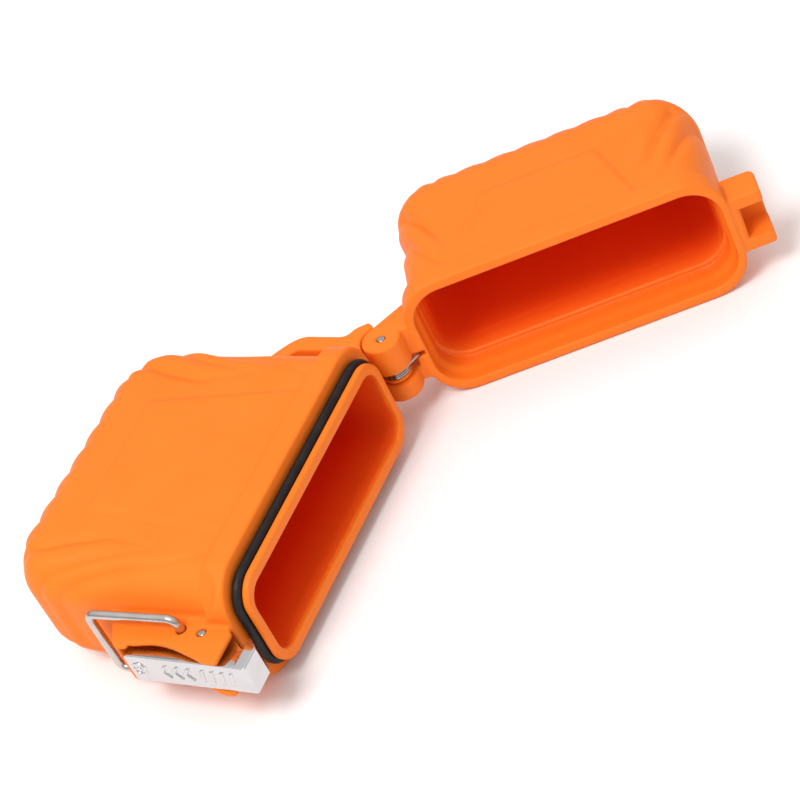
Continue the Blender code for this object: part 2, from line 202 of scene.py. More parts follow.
def field_mesh(field, low, high, step):
    """Vertices and quads of the surface where field(x, y, z) is zero, in mm.

    Only blocks near the surface are worked out. Each vertex then slides along
    the field's slope until it lies on the surface.
    """
    size = 8
    low = np.array(low, float)
    blocks = np.ceil((np.array(high, float) - low) / (step * size)).astype(int)
    values = np.ones(blocks * size + 1, np.float32)
    index = np.stack(np.meshgrid(*[np.arange(k) for k in blocks], indexing="ij"), -1).reshape(-1, 3)
    centre = low + (index + 0.5) * size * step
    middle = field(*centre.T)
    reach = 0.87 * size * step * 1.35 + step
    near = np.abs(middle) < reach
    for place, value in zip(index[~near] * size, middle[~near]):
        i, j, k = place
        values[i:i + size + 1, j:j + size + 1, k:k + size + 1] = 1.0 if value > 0 else -1.0
    offset = np.stack(np.meshgrid(*[np.arange(size + 1)] * 3, indexing="ij"), -1).reshape(-1, 3)
    wanted = index[near] * size
    for start in range(0, len(wanted), 400):
        cells = (wanted[start:start + 400, None, :] + offset[None]).reshape(-1, 3)
        points = low + cells * step
        values[cells[:, 0], cells[:, 1], cells[:, 2]] = field(*points.T)

    inside = values < 0
    shape = values.shape
    stride = (shape[1] * shape[2], shape[2], 1)
    total = np.zeros(values.size * 3).reshape(3, -1)
    count = np.zeros(values.size, np.int32)
    crossings = []
    flat = values.ravel()
    for axis in range(3):
        here = [slice(None)] * 3
        there = [slice(None)] * 3
        here[axis], there[axis] = slice(0, -1), slice(1, None)
        cut = np.argwhere(inside[tuple(here)] != inside[tuple(there)])
        keep = np.all((cut > 0) | (np.arange(3) == axis), axis=1)
        cut = cut[keep]
        at = cut @ np.array(stride)
        a, b = flat[at], flat[at + stride[axis]]
        spot = cut.astype(float)
        spot[:, axis] += a / (a - b)
        side, up = [k for k in range(3) if k != axis]
        ring = [at, at - stride[side], at - stride[side] - stride[up], at - stride[up]]
        for cell in ring:
            count += np.bincount(cell, minlength=count.size).astype(np.int32)
            for k in range(3):
                total[k] += np.bincount(cell, weights=spot[:, k], minlength=count.size)
        flip = (a < 0) != (axis == 1)
        crossings.append((np.stack(ring, 1), flip))
    used = np.flatnonzero(count)
    number = np.full(count.size, -1, np.int64)
    number[used] = np.arange(len(used))
    verts = low + (total[:, used] / count[used]).T * step
    quads = []
    for ring, flip in crossings:
        face = number[ring]
        face[~flip] = face[~flip][:, ::-1]
        quads.append(face)
    quads = np.concatenate(quads)

    tiny = 0.02
    for _ in range(2):
        value = field(*verts.T)
        slope = np.stack([
            field(verts[:, 0] + tiny, verts[:, 1], verts[:, 2]) - value,
            field(verts[:, 0], verts[:, 1] + tiny, verts[:, 2]) - value,
            field(verts[:, 0], verts[:, 1], verts[:, 2] + tiny) - value], 1) / tiny
        move = -value[:, None] * slope / np.maximum((slope ** 2).sum(1), 0.05)[:, None]
        length = np.linalg.norm(move, axis=1)
        move *= np.minimum(1.0, 0.5 * step / np.maximum(length, 1e-9))[:, None]
        verts += move
    return verts, quads


def add_mesh(name, verts, faces, matrix, materials, pick=None):
    """A smooth-shaded object from millimetre vertices, placed by matrix."""
    mesh = bpy.data.meshes.new(name)
    mesh.vertices.add(len(verts))
    mesh.vertices.foreach_set("co", np.asarray(verts, np.float32).ravel())
    mesh.loops.add(faces.size)
    mesh.loops.foreach_set("vertex_index", faces.ravel().astype(np.int32))
    mesh.polygons.add(len(faces))
    starts = np.arange(len(faces)) * faces.shape[1]
    mesh.polygons.foreach_set("loop_start", starts.astype(np.int32))
    mesh.update(calc_edges=True)
    mesh.validate()
    for material in materials:
        mesh.materials.append(material)
    if pick is not None:
        mesh.polygons.foreach_set("material_index", pick.astype(np.int32))
    mesh.transform(matrix)
    mesh.shade_smooth()
    ob = bpy.data.objects.new(name, mesh)
    bpy.context.scene.collection.objects.link(ob)
    return ob


def apply_modifiers(ob):
    """Keeps the shape that the modifiers make, as plain mesh."""
    graph = bpy.context.evaluated_depsgraph_get()
    mesh = bpy.data.meshes.new_from_object(ob.evaluated_get(graph))
    ob.modifiers.clear()
    ob.data = mesh
    return ob


def thin_out(ob, share):
    """Fewer triangles, with shading that stays true on the flat faces."""
    mod = ob.modifiers.new("thin", "DECIMATE")
    mod.ratio = share
    even = ob.modifiers.new("even", "WEIGHTED_NORMAL")
    even.mode = "FACE_AREA"
    even.weight = 60
    even.keep_sharp = False
    return apply_modifiers(ob)


# ------------------------------------------------------------------- shells

def round_inset(radius, from_end):
    """How far a quarter-round end stands in from the side."""
    left = np.clip(radius - from_end, 0.0, radius)
    return radius - np.sqrt(radius * radius - left * left)


def bump(value, middle, width):
    """A smooth hump, 1 at the middle."""
    return np.exp(-((value - middle) / width) ** 2)


def shell_outer(x, z, from_end, swell, end_round_z):
    """The cup's outside, rounding over to its closed end; swell widens each side."""
    across = x - CENTRE_X
    in_x = round_inset(END_ROUND_X, from_end)
    in_z = round_inset(end_round_z, from_end)
    half_x = WALL[0] - in_x + np.where(across < 0, swell[0], swell[1])
    corner = np.maximum(WALL[2] - 0.85 * in_z, 0.8)
    section = rounded_rect(across, z, half_x, WALL[1] - in_z, corner)
    steep = np.sqrt(np.clip(1.0 - (np.clip(1.0 - from_end / END_ROUND_X, 0, 1)) ** 2, 0.12, 1.0))
    return np.maximum(section * steep, -from_end)


def cavity(x, z, from_floor, section, draft, round_x, round_z):
    """The inside, rounding over to its floor as the outside does."""
    in_x = round_inset(round_x, from_floor)
    in_z = round_inset(round_z, from_floor)
    corner = np.maximum(section[2] - 0.6 * in_z, 0.8)
    field = rounded_rect(x - CENTRE_X, z, section[0] - in_x - draft, section[1] - in_z - draft,
                         corner)
    steep = np.sqrt(np.clip(1.0 - np.clip(1.0 - from_floor / round_x, 0, 1) ** 2, 0.15, 1.0))
    return np.maximum(field * steep, -from_floor)


def section_field(x, z, section):
    return rounded_rect(x - CENTRE_X, z, *section)


BRACKET = (
    arc_points(0.0, 0.0, 5.0, 226.5, 318.0, 14)
    + [(5.6, -3.4), (9.5, -3.4), (9.5, -11.2), (6.4, -11.35), (5.2, -11.7), (4.35, -12.4),
       (4.0, -13.3), (4.0, -19.9), (4.3, -20.8), (5.0, -21.5), (6.6, -22.4), (9.5, -23.0),
       (9.5, -28.6), (7.4, -27.6), (6.2, -27.0), (4.1, -25.6), (2.0, -23.9), (0.7, -22.5),
       (-0.1, -21.1), (-0.45, -19.8), (-0.5, -18.4), (-0.5, -10.9), (-0.75, -9.9),
       (-1.4, -9.1), (-2.8, -8.4), (-3.7, -7.5), (-4.5, -6.4), (-4.95, -5.5), (-4.75, -4.75),
       (-4.1, -4.1)])
KNUCKLE = arc_points(0.0, 0.0, 3.5, -32.0, 212.0, 24) + [(-3.4, -5.6), (4.2, -5.6)]
SCALLOP = smooth([(92.3, -1.0), (92.1, -3.3), (91.3, -5.4), (90.3, -8.5), (89.4, -11.4),
                  (88.75, -14.4), (88.55, -17.4), (88.95, -20.7), (89.8, -23.0)], 4)[:33]
CHEEK = ([(79.4, -4.4), (81.9, -1.9), (83.3, -0.5), (84.2, 0.4), (85.0, 0.6), (91.5, 0.6),
          (92.1, 0.3), (92.3, -0.2)] + SCALLOP
         + [(90.15, -24.3), (90.3, -25.5), (90.15, -26.5), (89.6, -27.2), (87.7, -28.4),
            (83.2, -30.7), (79.4, -32.0)])
LEVER_POCKET = [(81.6, -25.8), (97.0, -25.8), (97.0, 3.0), (82.9, 3.0), (82.9, -3.2),
                (81.9, -3.8), (81.6, -9.5)]
ARM = (arc_points(0.0, 0.0, LUG_R, 121.9, 360.0, 32)
       + [(LUG_R, 0.3), (7.4, 0.3), (7.4, 5.6), (8.9, 7.4), (8.9, 9.6), (8.3, 10.1), (7.4, 9.9),
          (6.4, 9.28)])
WEB = [(5.4, 0.3), (7.4, 0.3), (7.4, 5.6), (8.9, 7.4), (8.9, 9.6), (8.0, 10.0), (5.4, 8.6)]
CATCH = [(81.8, CATCH_FRONT), (89.6, CATCH_FRONT), (90.15, 0.95), (90.4, 1.5), (90.4, 7.6),
         (90.2, 8.4), (89.7, 8.95), (88.9, 9.2), (80.7, 9.2), (80.7, 7.4), (81.8, 5.6)]
CATCH_POCKET = [(83.3, -1.0), (83.3, 0.0), (84.7, 1.4), (84.7, 3.2), (82.4, 3.2),
                (82.4, 7.9), (96.0, 7.9), (96.0, -1.0)]


def body_skin(x, y, z):
    swell = (0.9 * bump(y, -42.0, 7.0) - 0.35 * bump(y, -27.0, 7.0), 1.1 * bump(y, -43.0, 10.0))
    return shell_outer(x, z, y + BODY_DEPTH, swell, BODY_END_ROUND_Z)


def body_hollow(x, y, z):
    return cavity(x, z, y + BODY_FLOOR, NECK_IN, BODY_DRAFT * np.minimum(y, 0.0), CAVITY_ROUND_X,
                  BODY_CAVITY_ROUND_Z)


def lid_skin(x, y, z):
    swell = (0.45 * bump(y, 37.5, 4.0), 1.7 * smoothstep(6.0, 26.0, y))
    return shell_outer(x, z, LID_DEPTH - y, swell, LID_END_ROUND_Z)


def lid_hollow(x, y, z):
    """The cavity, with the stepped recess that goes over the neck and its seal."""
    narrow = smoothstep(2.7, 5.2, y)
    recess = rounded_rect(x - CENTRE_X, z, RECESS[0] - 0.95 * narrow, RECESS[1] - 0.3 * narrow,
                          RECESS[2] - 0.3 * narrow)
    recess = np.maximum(recess, y - RECESS_DEPTH)
    hollow = cavity(x, z, LID_FLOOR - y, LID_IN, LID_DRAFT * np.maximum(y, 0.0), CAVITY_ROUND_X,
                    LID_CAVITY_ROUND_Z)
    wide = 0.8 * (1.0 - smoothstep(7.5, 13.0, y))
    ends = rounded_rect(x - CENTRE_X, z, LID_IN[0] + wide, LID_IN[1], 7.5)
    ends = np.maximum(ends, np.maximum(y - 14.0, -y))
    return join_fillet(recess, np.minimum(hollow, ends), 0.25)


def body_field(x, y, z):
    """The body, with neck, hinge bracket, latch cheeks and bores."""
    shell = np.maximum(body_skin(x, y, z), y + 0.4)
    band = cut_round(section_field(x, z, FLANGE), slab(y, -FLANGE_DEPTH, -MOUTH_GAP), SHELL_EDGE)
    solid = np.maximum(join_fillet(shell, band, FLANGE_FILLET), y + MOUTH_GAP)
    arm = plate(x, y, z, BRACKET, LUG_BOTTOM, LUG_TOP, 0.55)
    solid = join_fillet(solid, arm, 0.9)
    cheek = plate(x, y, z, CHEEK, -CHEEK_OUT, CHEEK_OUT, 0.45)
    solid = join_fillet(solid, cheek, 1.0)
    pocket = np.maximum(outline_field(x, y, LEVER_POCKET), np.abs(z) - CHEEK_IN)
    solid = cut_round(solid, -pocket, 0.18)
    knuckle = plate(x, y, z, KNUCKLE, -4.3, -3.15, 0.2)
    solid = np.minimum(solid, knuckle)
    stem = cut_round(section_field(x, z, GROOVE), slab(y, -2.0, 3.2), 0.1)
    rim = cut_round(section_field(x, z, NECK_OUT), slab(y, GROOVE_TOP, NECK_HEIGHT), 0.42)
    solid = np.minimum(solid, np.minimum(stem, rim))
    solid = cut_round(solid, -body_hollow(x, y, z), 0.4)
    latch_bore = np.hypot(x - LATCH_X, y - LATCH_Y)
    sink = np.maximum(0.0, np.abs(z) - (CHEEK_OUT - SINK))
    solid = np.maximum(solid, BORE_R + 0.7 * sink - latch_bore)
    bail_bore = np.hypot(x - BAIL_X, y - BAIL_Y)
    bail_hole = BAIL_WIRE + 0.12 + 0.4 * sink - bail_bore
    solid = np.maximum(solid, np.minimum(bail_hole, 8.0 - np.abs(z)))
    hinge_bore = np.hypot(x, y)
    return np.maximum(solid, np.minimum(BORE_R - hinge_bore, -slab(z, -6.0, -1.0)))


def lid_field(x, y, z):
    """The lid as it stands closed, with its mouth facing -y."""
    shell = np.maximum(lid_skin(x, y, z), 0.4 - y)
    band = cut_round(section_field(x, z, FLANGE), slab(y, MOUTH_GAP, FLANGE_DEPTH), SHELL_EDGE)
    solid = join_fillet(shell, band, FLANGE_FILLET)
    upper = plate(x, y, z, ARM, UPPER_LUG_FLOOR, LUG_TOP, 0.5)
    lower = plate(x, y, z, ARM, LUG_BOTTOM, LOWER_LUG_ROOF, 0.5)
    web = plate(x, y, z, WEB, LOWER_LUG_ROOF - 1.0, UPPER_LUG_FLOOR + 1.0, 0.3)
    arms = join_fillet(np.minimum(upper, lower), web, 0.5)
    solid = join_fillet(solid, arms, 0.8)
    slot = np.maximum(slab(x, 4.95, 7.65), np.maximum(slab(y, -0.5, 1.7), slab(z, -2.2, -0.7)))
    solid = cut_round(solid, -slot, 0.15)
    bracket = plate(x, y, z, CATCH, -CATCH_HALF, CATCH_HALF, 0.8)
    solid = join_fillet(solid, bracket, 0.7)
    solid = np.maximum(solid, np.minimum(x - 6.4, MOUTH_GAP - y))
    pocket = np.maximum(outline_field(x, y, CATCH_POCKET), np.abs(z) - CHEEK_IN)
    solid = cut_round(solid, -pocket, 0.3)
    solid = cut_round(solid, -lid_hollow(x, y, z), 0.45)
    bore = np.hypot(x, y)
    sink = np.maximum(0.0, z - (LUG_TOP - SINK))
    return np.maximum(solid, BORE_R + 0.7 * sink - bore)


# Sweeping grooves on each side: distance out from the centre line, then distance from the mouth
BODY_GROOVES = (
    ((28.4, 56.0), (27.2, 50.2), (26.0, 46.4), (24.6, 40.5), (23.6, 34.6), (24.3, 30.4),
     (26.4, 24.0)),
    ((36.4, 51.8), (33.4, 45.4), (30.3, 38.4), (28.4, 31.2), (26.7, 23.6)),
    ((37.2, 43.9), (35.7, 40.6), (34.2, 36.2), (32.8, 31.8), (31.6, 26.8), (30.5, 21.6),
     (28.2, 12.9), (25.8, 7.7)))
LID_GROOVES = (
    ((34.0, 33.0), (30.6, 28.0), (28.0, 24.0), (25.9, 19.0), (24.6, 15.6)),
    ((37.6, 28.6), (35.3, 24.2), (32.8, 19.7), (29.1, 13.2), (25.8, 8.5)))


def groove_depth(across, along, path, depth):
    """A valley with a crisp bottom that fades and narrows towards its tip."""
    points = [np.array(p) for p in smooth(path, 4)[:4 * (len(path) - 1) + 1]]
    best = np.full(across.shape, 1e9)
    where = np.zeros(across.shape)
    for i in range(1, len(points)):
        edge = points[i] - points[i - 1]
        px, py = across - points[i - 1][0], along - points[i - 1][1]
        u = np.clip((px * edge[0] + py * edge[1]) / (edge @ edge), 0.0, 1.0)
        gap = (px - u * edge[0]) ** 2 + (py - u * edge[1]) ** 2
        closer = gap < best
        best = np.where(closer, gap, best)
        where = np.where(closer, (i - 1 + u) / (len(points) - 1), where)
    side = np.sqrt(best)
    width = 3.3 - 1.5 * where
    fade = 1.0 - 0.85 * smoothstep(0.45, 1.0, where)
    return depth * fade * np.clip(1.0 - side / width, 0.0, 1.0) ** 1.6


def mould_detail(verts, normals, depth, grooves, groove_deep, panel):
    """How far the outside moves in: end ripples, sweeping grooves, and out for the panel."""
    across = verts[:, 0] - CENTRE_X
    out = np.abs(across)
    along = np.abs(verts[:, 1])
    from_end = depth - along
    straight = WALL[0] - END_ROUND_X
    turn = np.arctan2(out - straight, np.maximum(END_ROUND_X - from_end, 0.01))
    run = np.where(out > straight, straight + END_ROUND_X * np.clip(turn, 0.0, math.pi / 2), out)
    run = run + np.where((out > straight) & (from_end > END_ROUND_X), from_end - END_ROUND_X, 0.0)
    wave = (1.0 - np.abs(np.cos(math.pi * run / RIPPLE_PITCH))) ** 1.15
    edge_fade = 1.0 - smoothstep(0.5, 9.0, from_end - 0.45 * np.maximum(out - straight, 0.0))
    corner_fade = 1.0 - smoothstep(29.0, 35.0, run)
    inward = RIPPLE_HEIGHT * wave * edge_fade * corner_fade
    clear = smoothstep(5.4, 8.2, along)
    for path in grooves:
        inward += clear * groove_depth(out, along, path, groove_deep)
    near_half, far_half, far = panel
    half = near_half - (near_half - far_half) * np.clip((along - 8.0) / (far - 8.0), -0.2, 1.2)
    outside = np.maximum(out - half, along - far)
    flat = smoothstep(0.7, 0.95, np.abs(normals[:, 2]))
    return inward - PANEL_HIGH * (1.0 - smoothstep(-1.0, 0.8, outside)) * flat * clear


def vertex_normals(verts, quads):
    """Unit normals, averaged over the quads at each vertex."""
    a = verts[quads[:, 2]] - verts[quads[:, 0]]
    b = verts[quads[:, 3]] - verts[quads[:, 1]]
    face = np.cross(a, b)
    total = np.zeros_like(verts)
    for k in range(3):
        for corner in range(4):
            total[:, k] += np.bincount(quads[:, corner], weights=face[:, k], minlength=len(verts))
    return total / np.maximum(np.linalg.norm(total, axis=1), 1e-12)[:, None]


def make_shell(name, field, skin, low, high, matrix, materials, depth, grooves, deep, panel, ties,
               inner):
    """A moulded shell, its sides left plain where fittings join, nearer the mouth than ties."""
    step = 0.4
    verts, quads = field_mesh(field, low, high, step)
    normals = vertex_normals(verts, quads)
    weight = 1.0 - smoothstep(0.12, 0.9, np.abs(skin(*verts.T)))
    weight *= np.maximum(smoothstep(8.2, 10.6, np.abs(verts[:, 2])),
                         smoothstep(ties, ties + 3.5, np.abs(verts[:, 1])))
    weight *= inner(verts) > 0.5
    verts -= normals * (weight * mould_detail(verts, normals, depth, grooves, deep, panel))[:, None]
    inside = inner(verts[quads].mean(1)) < 0.06
    ob = add_mesh(name, verts, quads, matrix, materials, inside)
    thin_out(ob, 0.42)
    return ob


def body_inner(p):
    """Small on the inside wall and large elsewhere, the neck's rim included."""
    return body_hollow(*p.T) + np.where(p[:, 1] > 3.4, 1.0, 0.0)


def lid_inner(p):
    """Small on the inside wall and large elsewhere, the mouth's edge included."""
    return lid_hollow(*p.T) + np.where(p[:, 1] < 0.7, 1.0, 0.0)


# -------------------------------------------------------------- small pieces

def tube(points, radius, sides, closed):
    """Rings of vertices along a path, and their quads."""
    points = np.array(points, float)
    count = len(points)
    if closed:
        tangent = np.roll(points, -1, 0) - np.roll(points, 1, 0)
    else:
        tangent = np.gradient(points, axis=0)
    tangent /= np.linalg.norm(tangent, axis=1)[:, None]
    guide = np.array([0.0, 0.0, 1.0]) if abs(tangent[0][2]) < 0.9 else np.array([1.0, 0.0, 0.0])
    normal = np.cross(tangent[0], guide)
    normal /= np.linalg.norm(normal)
    rings = []
    for i in range(count):
        normal = normal - tangent[i] * (normal @ tangent[i])
        normal /= np.linalg.norm(normal)
        side = np.cross(tangent[i], normal)
        angles = 2.0 * math.pi * np.arange(sides) / sides
        ring = np.outer(np.cos(angles), normal) + np.outer(np.sin(angles), side)
        rings.append(points[i] + radius * ring)
    verts = np.concatenate(rings)
    quads = []
    for i in range(count if closed else count - 1):
        a, b = i * sides, ((i + 1) % count) * sides
        for k in range(sides):
            n = (k + 1) % sides
            quads.append((a + k, b + k, b + n, a + n))
    return verts, np.array(quads)


def cap_tube(ob, sides):
    """Closes an open tube's two ends with flat caps."""
    bm = bmesh.new()
    bm.from_mesh(ob.data)
    edges = [e for e in bm.edges if e.is_boundary]
    made = bmesh.ops.holes_fill(bm, edges=edges, sides=sides + 1)
    bmesh.ops.recalc_face_normals(bm, faces=bm.faces)
    for face in made["faces"]:
        face.smooth = False
    bm.to_mesh(ob.data)
    bm.free()
    return ob


def lathe(name, profile, centre, matrix, material, sides=40):
    """Turns a (radius, z) profile about an upright axis."""
    verts, quads = [], []
    for radius, z in profile:
        for k in range(sides):
            a = 2.0 * math.pi * k / sides
            verts.append((centre[0] + radius * math.cos(a), centre[1] + radius * math.sin(a), z))
    for i in range(len(profile) - 1):
        for k in range(sides):
            n = (k + 1) % sides
            quads.append((i * sides + k, i * sides + n, (i + 1) * sides + n, (i + 1) * sides + k))
    ob = add_mesh(name, np.array(verts), np.array(quads), matrix, [material])
    return cap_tube(ob, sides)


def pin_profile(low, high):
    """A wire pin with rounded rims and a faint dimple in each head."""
    rim = [(0.35, -0.06), (0.62, 0.0), (0.78, 0.0), (0.9, 0.05), (0.97, 0.14), (PIN_R, 0.26)]
    start = [(r, low + dz) for r, dz in rim]
    end = [(r, high - dz) for r, dz in reversed(rim)]
    return start + end


def fill_straights(points, step):
    """A closed path with extra points along its long straights."""
    filled = []
    for i, point in enumerate(points):
        after = points[(i + 1) % len(points)]
        parts = max(1, int(math.dist(point, after) / step))
        for k in range(parts):
            t = k / parts
            filled.append((point[0] + t * (after[0] - point[0]),
                           point[1] + t * (after[1] - point[1])))
    return filled


def make_seal():
    """The cord ring round the neck."""
    half_x, half_z, radius = SEAL_PATH
    path = []
    for sx, sz, start in ((1, 1, 0), (-1, 1, 90), (-1, -1, 180), (1, -1, 270)):
        path += arc_points(sx * (half_x - radius), sz * (half_z - radius), radius,
                           start, start + 90.0, 14)
    points = [(CENTRE_X + x, SEAL_Y, z) for x, z in fill_straights(path, 1.6)]
    verts, quads = tube(points, SEAL_R, 20, True)
    return add_mesh("neck_seal_cord", verts, quads, CASE, [RUBBER])


def coil(radius, low, rise, start, sweep, steps, centre=(0.0, 0.0)):
    """Points of an upright helix, with its angles in radians."""
    points = []
    for i in range(steps + 1):
        a = start + sweep * i / steps
        points.append((centre[0] + radius * math.cos(a), centre[1] + radius * math.sin(a),
                       low + rise * i / steps))
    return points


def make_hinge_spring():
    """Two and a bit turns, one leg on the body and the other in the open lid's slot."""
    lead, leave = math.radians(-64.0), math.radians(72.4)
    low, rise, radius = -2.8, 1.45, 3.5
    points = coil(radius, low, rise, lead, leave - lead + 4.0 * math.pi, 150)
    foot = (points[0][0] + 2.3 * math.sin(lead), points[0][1] - 2.3 * math.cos(lead), low)
    slot_x = 6.6 * math.cos(OPEN_ANGLE) - 0.75 * math.sin(OPEN_ANGLE)
    slot_y = 6.6 * math.sin(OPEN_ANGLE) + 0.75 * math.cos(OPEN_ANGLE)
    leg = [tuple(points[-1][k] + t * ((slot_x, slot_y, low + rise)[k] - points[-1][k])
                 for k in range(3)) for t in (0.1, 0.25, 0.5, 0.75, 1.0)]
    verts, quads = tube([foot] + points + leg, 0.28, 12, False)
    return cap_tube(add_mesh("hinge_spring_wire", verts, quads, CASE, [STEEL]), 12)


def make_latch_spring():
    """Turns round the latch pin, with a leg on the pocket's floor and one on the lever."""
    points = coil(1.65, -0.75, 1.5, math.pi, 5.0 * math.pi, 110, (LATCH_X, LATCH_Y))
    points = [(LATCH_X - 2.2, LATCH_Y - 4.6, -0.75)] + points
    points.append((LATCH_X + 1.65, LATCH_Y - 2.6, 0.75))
    verts, quads = tube(points, 0.24, 10, False)
    return cap_tube(add_mesh("latch_spring_wire", verts, quads, CASE, [STEEL]), 10)


def make_bail():
    """The wire loop: its inner bar in the cheeks' cross hole, its ends butted there."""
    direction = (math.cos(BAIL_ANGLE), math.sin(BAIL_ANGLE))
    path = []
    for along, side, start in ((0.0, 1.0, 180.0), (BAIL_REACH, 1.0, 90.0),
                               (BAIL_REACH, -1.0, 0.0), (0.0, -1.0, -90.0)):
        u = BAIL_BEND if along == 0.0 else along - BAIL_BEND
        v = side * (BAIL_HALF - BAIL_BEND)
        path += arc_points(u, v, BAIL_BEND, start, start - 90.0, 12)
    points = [(BAIL_X + u * direction[0], BAIL_Y + u * direction[1], v)
              for u, v in fill_straights(path, 1.5)]
    verts, quads = tube(points, BAIL_WIRE, 24, True)
    return add_mesh("bail_ring_wire", verts, quads, CASE, [BRUSHED])


LEVER = [(LEVER_FACE_X, LEVER_TAIL_Y), (92.05, 6.5), (91.7, 7.0), (86.6, 7.0), (85.3, 5.9),
         (84.4, 4.9),
         (83.85, 4.2), (83.8, 3.75), (84.1, 3.55), (86.3, 3.45), (85.2, 1.7), (84.5, 0.3),
         (83.7, -2.4), (83.3, -4.4), (82.4, -6.0), (82.4, -7.7), (83.3, -9.0), (85.0, -9.45),
         (86.8, -9.6), (87.8, -10.5), (88.3, -12.0), (88.5, -14.5), (88.55, LEVER_TAIL_Y)]


def lever_marks(y, z):
    """Plain raised grip marks on the outer face: a ring, chevrons and bars."""
    from_ring = np.hypot(y + 21.9, z)
    marks = np.minimum(np.abs(from_ring - 1.6) - 0.3, from_ring - 0.6)
    for start in (-16.0, -13.0, -10.0):
        chevron = np.abs(y - start - 0.8 * np.abs(z)) * 0.78 - 0.36
        marks = np.minimum(marks, np.maximum(chevron, np.abs(z) - 1.95))
    for start in (-5.4, -2.9, -0.4, 2.1):
        bar = np.maximum(np.abs(y - start - 0.25 * z) - 0.45, np.abs(z) - 1.95)
        marks = np.minimum(marks, bar)
    return marks


def lever_field(x, y, z):
    """The lever: narrower towards its pivot, with raised marks, a spring slot and a bore."""
    draft = 0.155 * np.clip(91.6 - x, 0.0, 4.6) * (1.0 - smoothstep(3.95, 4.2, y))
    solid = cut_round(outline_field(x, y, LEVER), np.abs(z) - (LEVER_HALF - draft), 0.28)
    corner = np.where(y < -8.8, 1.25, 0.5)
    solid = cut_round(solid, rounded_rect(y + 8.8, z, 15.8, LEVER_HALF, corner), 0.2)
    face = LEVER_FACE_X + 0.0231 * (y - LEVER_TAIL_Y)
    marks = cut_round(lever_marks(y, z), np.abs(x - face) - 0.3, 0.1)
    solid = join_fillet(solid, marks, 0.05)
    slot = np.maximum(np.abs(z) - 1.3, np.maximum(x - 87.2, slab(y, -10.2, -3.9)))
    solid = cut_round(solid, -slot, 0.1)
    return np.maximum(solid, BORE_R - np.hypot(x - LATCH_X, y - LATCH_Y))


def make_lever():
    step = 0.14
    verts, quads = field_mesh(lever_field, (81.6, -25.4, -4.8), (93.2, 8.0, 4.8), step)
    ob = add_mesh("latch_lever_plated", verts, quads, CASE, [CHROME])
    thin_out(ob, 0.5)
    return ob


# ---------------------------------------------------------------- materials

# The mix node's colour sockets
MIX_A, MIX_B, MIX_RESULT = 6, 7, 2
LIP_WIDTH = 1.6


def shader(name, **values):
    """A new material, its tree and its main node, with the given socket values."""
    mat = bpy.data.materials.new(name)
    mat.use_nodes = True
    tree = mat.node_tree
    node = tree.nodes["Principled BSDF"]
    for key, value in values.items():
        node.inputs[key.replace("_", " ")].default_value = value
    return mat, tree, node


def coordinates(tree, scale=(1.0, 1.0, 1.0), place=None):
    """Object coordinates, scaled, or else in a frame at place, given as a spot and a turn."""
    source = tree.nodes.new("ShaderNodeTexCoord")
    mapping = tree.nodes.new("ShaderNodeMapping")
    tree.links.new(source.outputs["Object"], mapping.inputs["Vector"])
    if place is None:
        mapping.inputs["Scale"].default_value = scale
    else:
        mapping.vector_type = "TEXTURE"
        mapping.inputs["Location"].default_value = place[0]
        mapping.inputs["Rotation"].default_value = (0.0, 0.0, place[1])
    return mapping.outputs["Vector"]


def noise(tree, vector, scale, detail, roughness=0.5):
    """Noise, 0 to 1."""
    node = tree.nodes.new("ShaderNodeTexNoise")
    node.inputs["Scale"].default_value = scale
    node.inputs["Detail"].default_value = detail
    node.inputs["Roughness"].default_value = roughness
    tree.links.new(vector, node.inputs["Vector"])
    return node.outputs["Fac"]


def spread(tree, value, low, high, to_low, to_high):
    """The value mapped from one range to another, held at the ends."""
    node = tree.nodes.new("ShaderNodeMapRange")
    for key, number in (("From Min", low), ("From Max", high),
                        ("To Min", to_low), ("To Max", to_high)):
        node.inputs[key].default_value = number
    tree.links.new(value, node.inputs["Value"])
    return node.outputs["Result"]


def blend_colours(tree, factor, first, second):
    """First at factor 0, second at 1; each is a colour or a colour socket."""
    node = tree.nodes.new("ShaderNodeMix")
    node.data_type = "RGBA"
    tree.links.new(factor, node.inputs["Factor"])
    for socket, colour in ((node.inputs[MIX_A], first), (node.inputs[MIX_B], second)):
        if isinstance(colour, tuple):
            socket.default_value = (*colour, 1.0)
        else:
            tree.links.new(colour, socket)
    return node.outputs[MIX_RESULT]


def bump_from(tree, node, height, strength, distance):
    """Fine relief from a height, on the node's normal."""
    made = tree.nodes.new("ShaderNodeBump")
    made.inputs["Strength"].default_value = strength
    made.inputs["Distance"].default_value = distance
    tree.links.new(height, made.inputs["Height"])
    tree.links.new(made.outputs["Normal"], node.inputs["Normal"])


def make_orange():
    """Soft-touch outside, with faint clouds and flecks."""
    mat, tree, node = shader("orange_soft_touch", Roughness=0.5, Specular_IOR_Level=0.2)
    at = coordinates(tree)
    cloud = spread(tree, noise(tree, at, 70.0, 3.0), 0.3, 0.7, 0.0, 1.0)
    colour = blend_colours(tree, cloud, ORANGE_DARK, ORANGE_LIGHT)
    fleck = spread(tree, noise(tree, at, 900.0, 2.0), 0.68, 0.8, 0.0, 0.1)
    colour = blend_colours(tree, fleck, colour, (0.62, 0.15, 0.02))
    tree.links.new(colour, node.inputs["Base Color"])
    rough = spread(tree, noise(tree, at, 240.0, 4.0), 0.3, 0.7, 0.44, 0.56)
    tree.links.new(rough, node.inputs["Roughness"])
    bump_from(tree, node, noise(tree, at, 3800.0, 2.0), 0.12, 0.00003)
    return mat


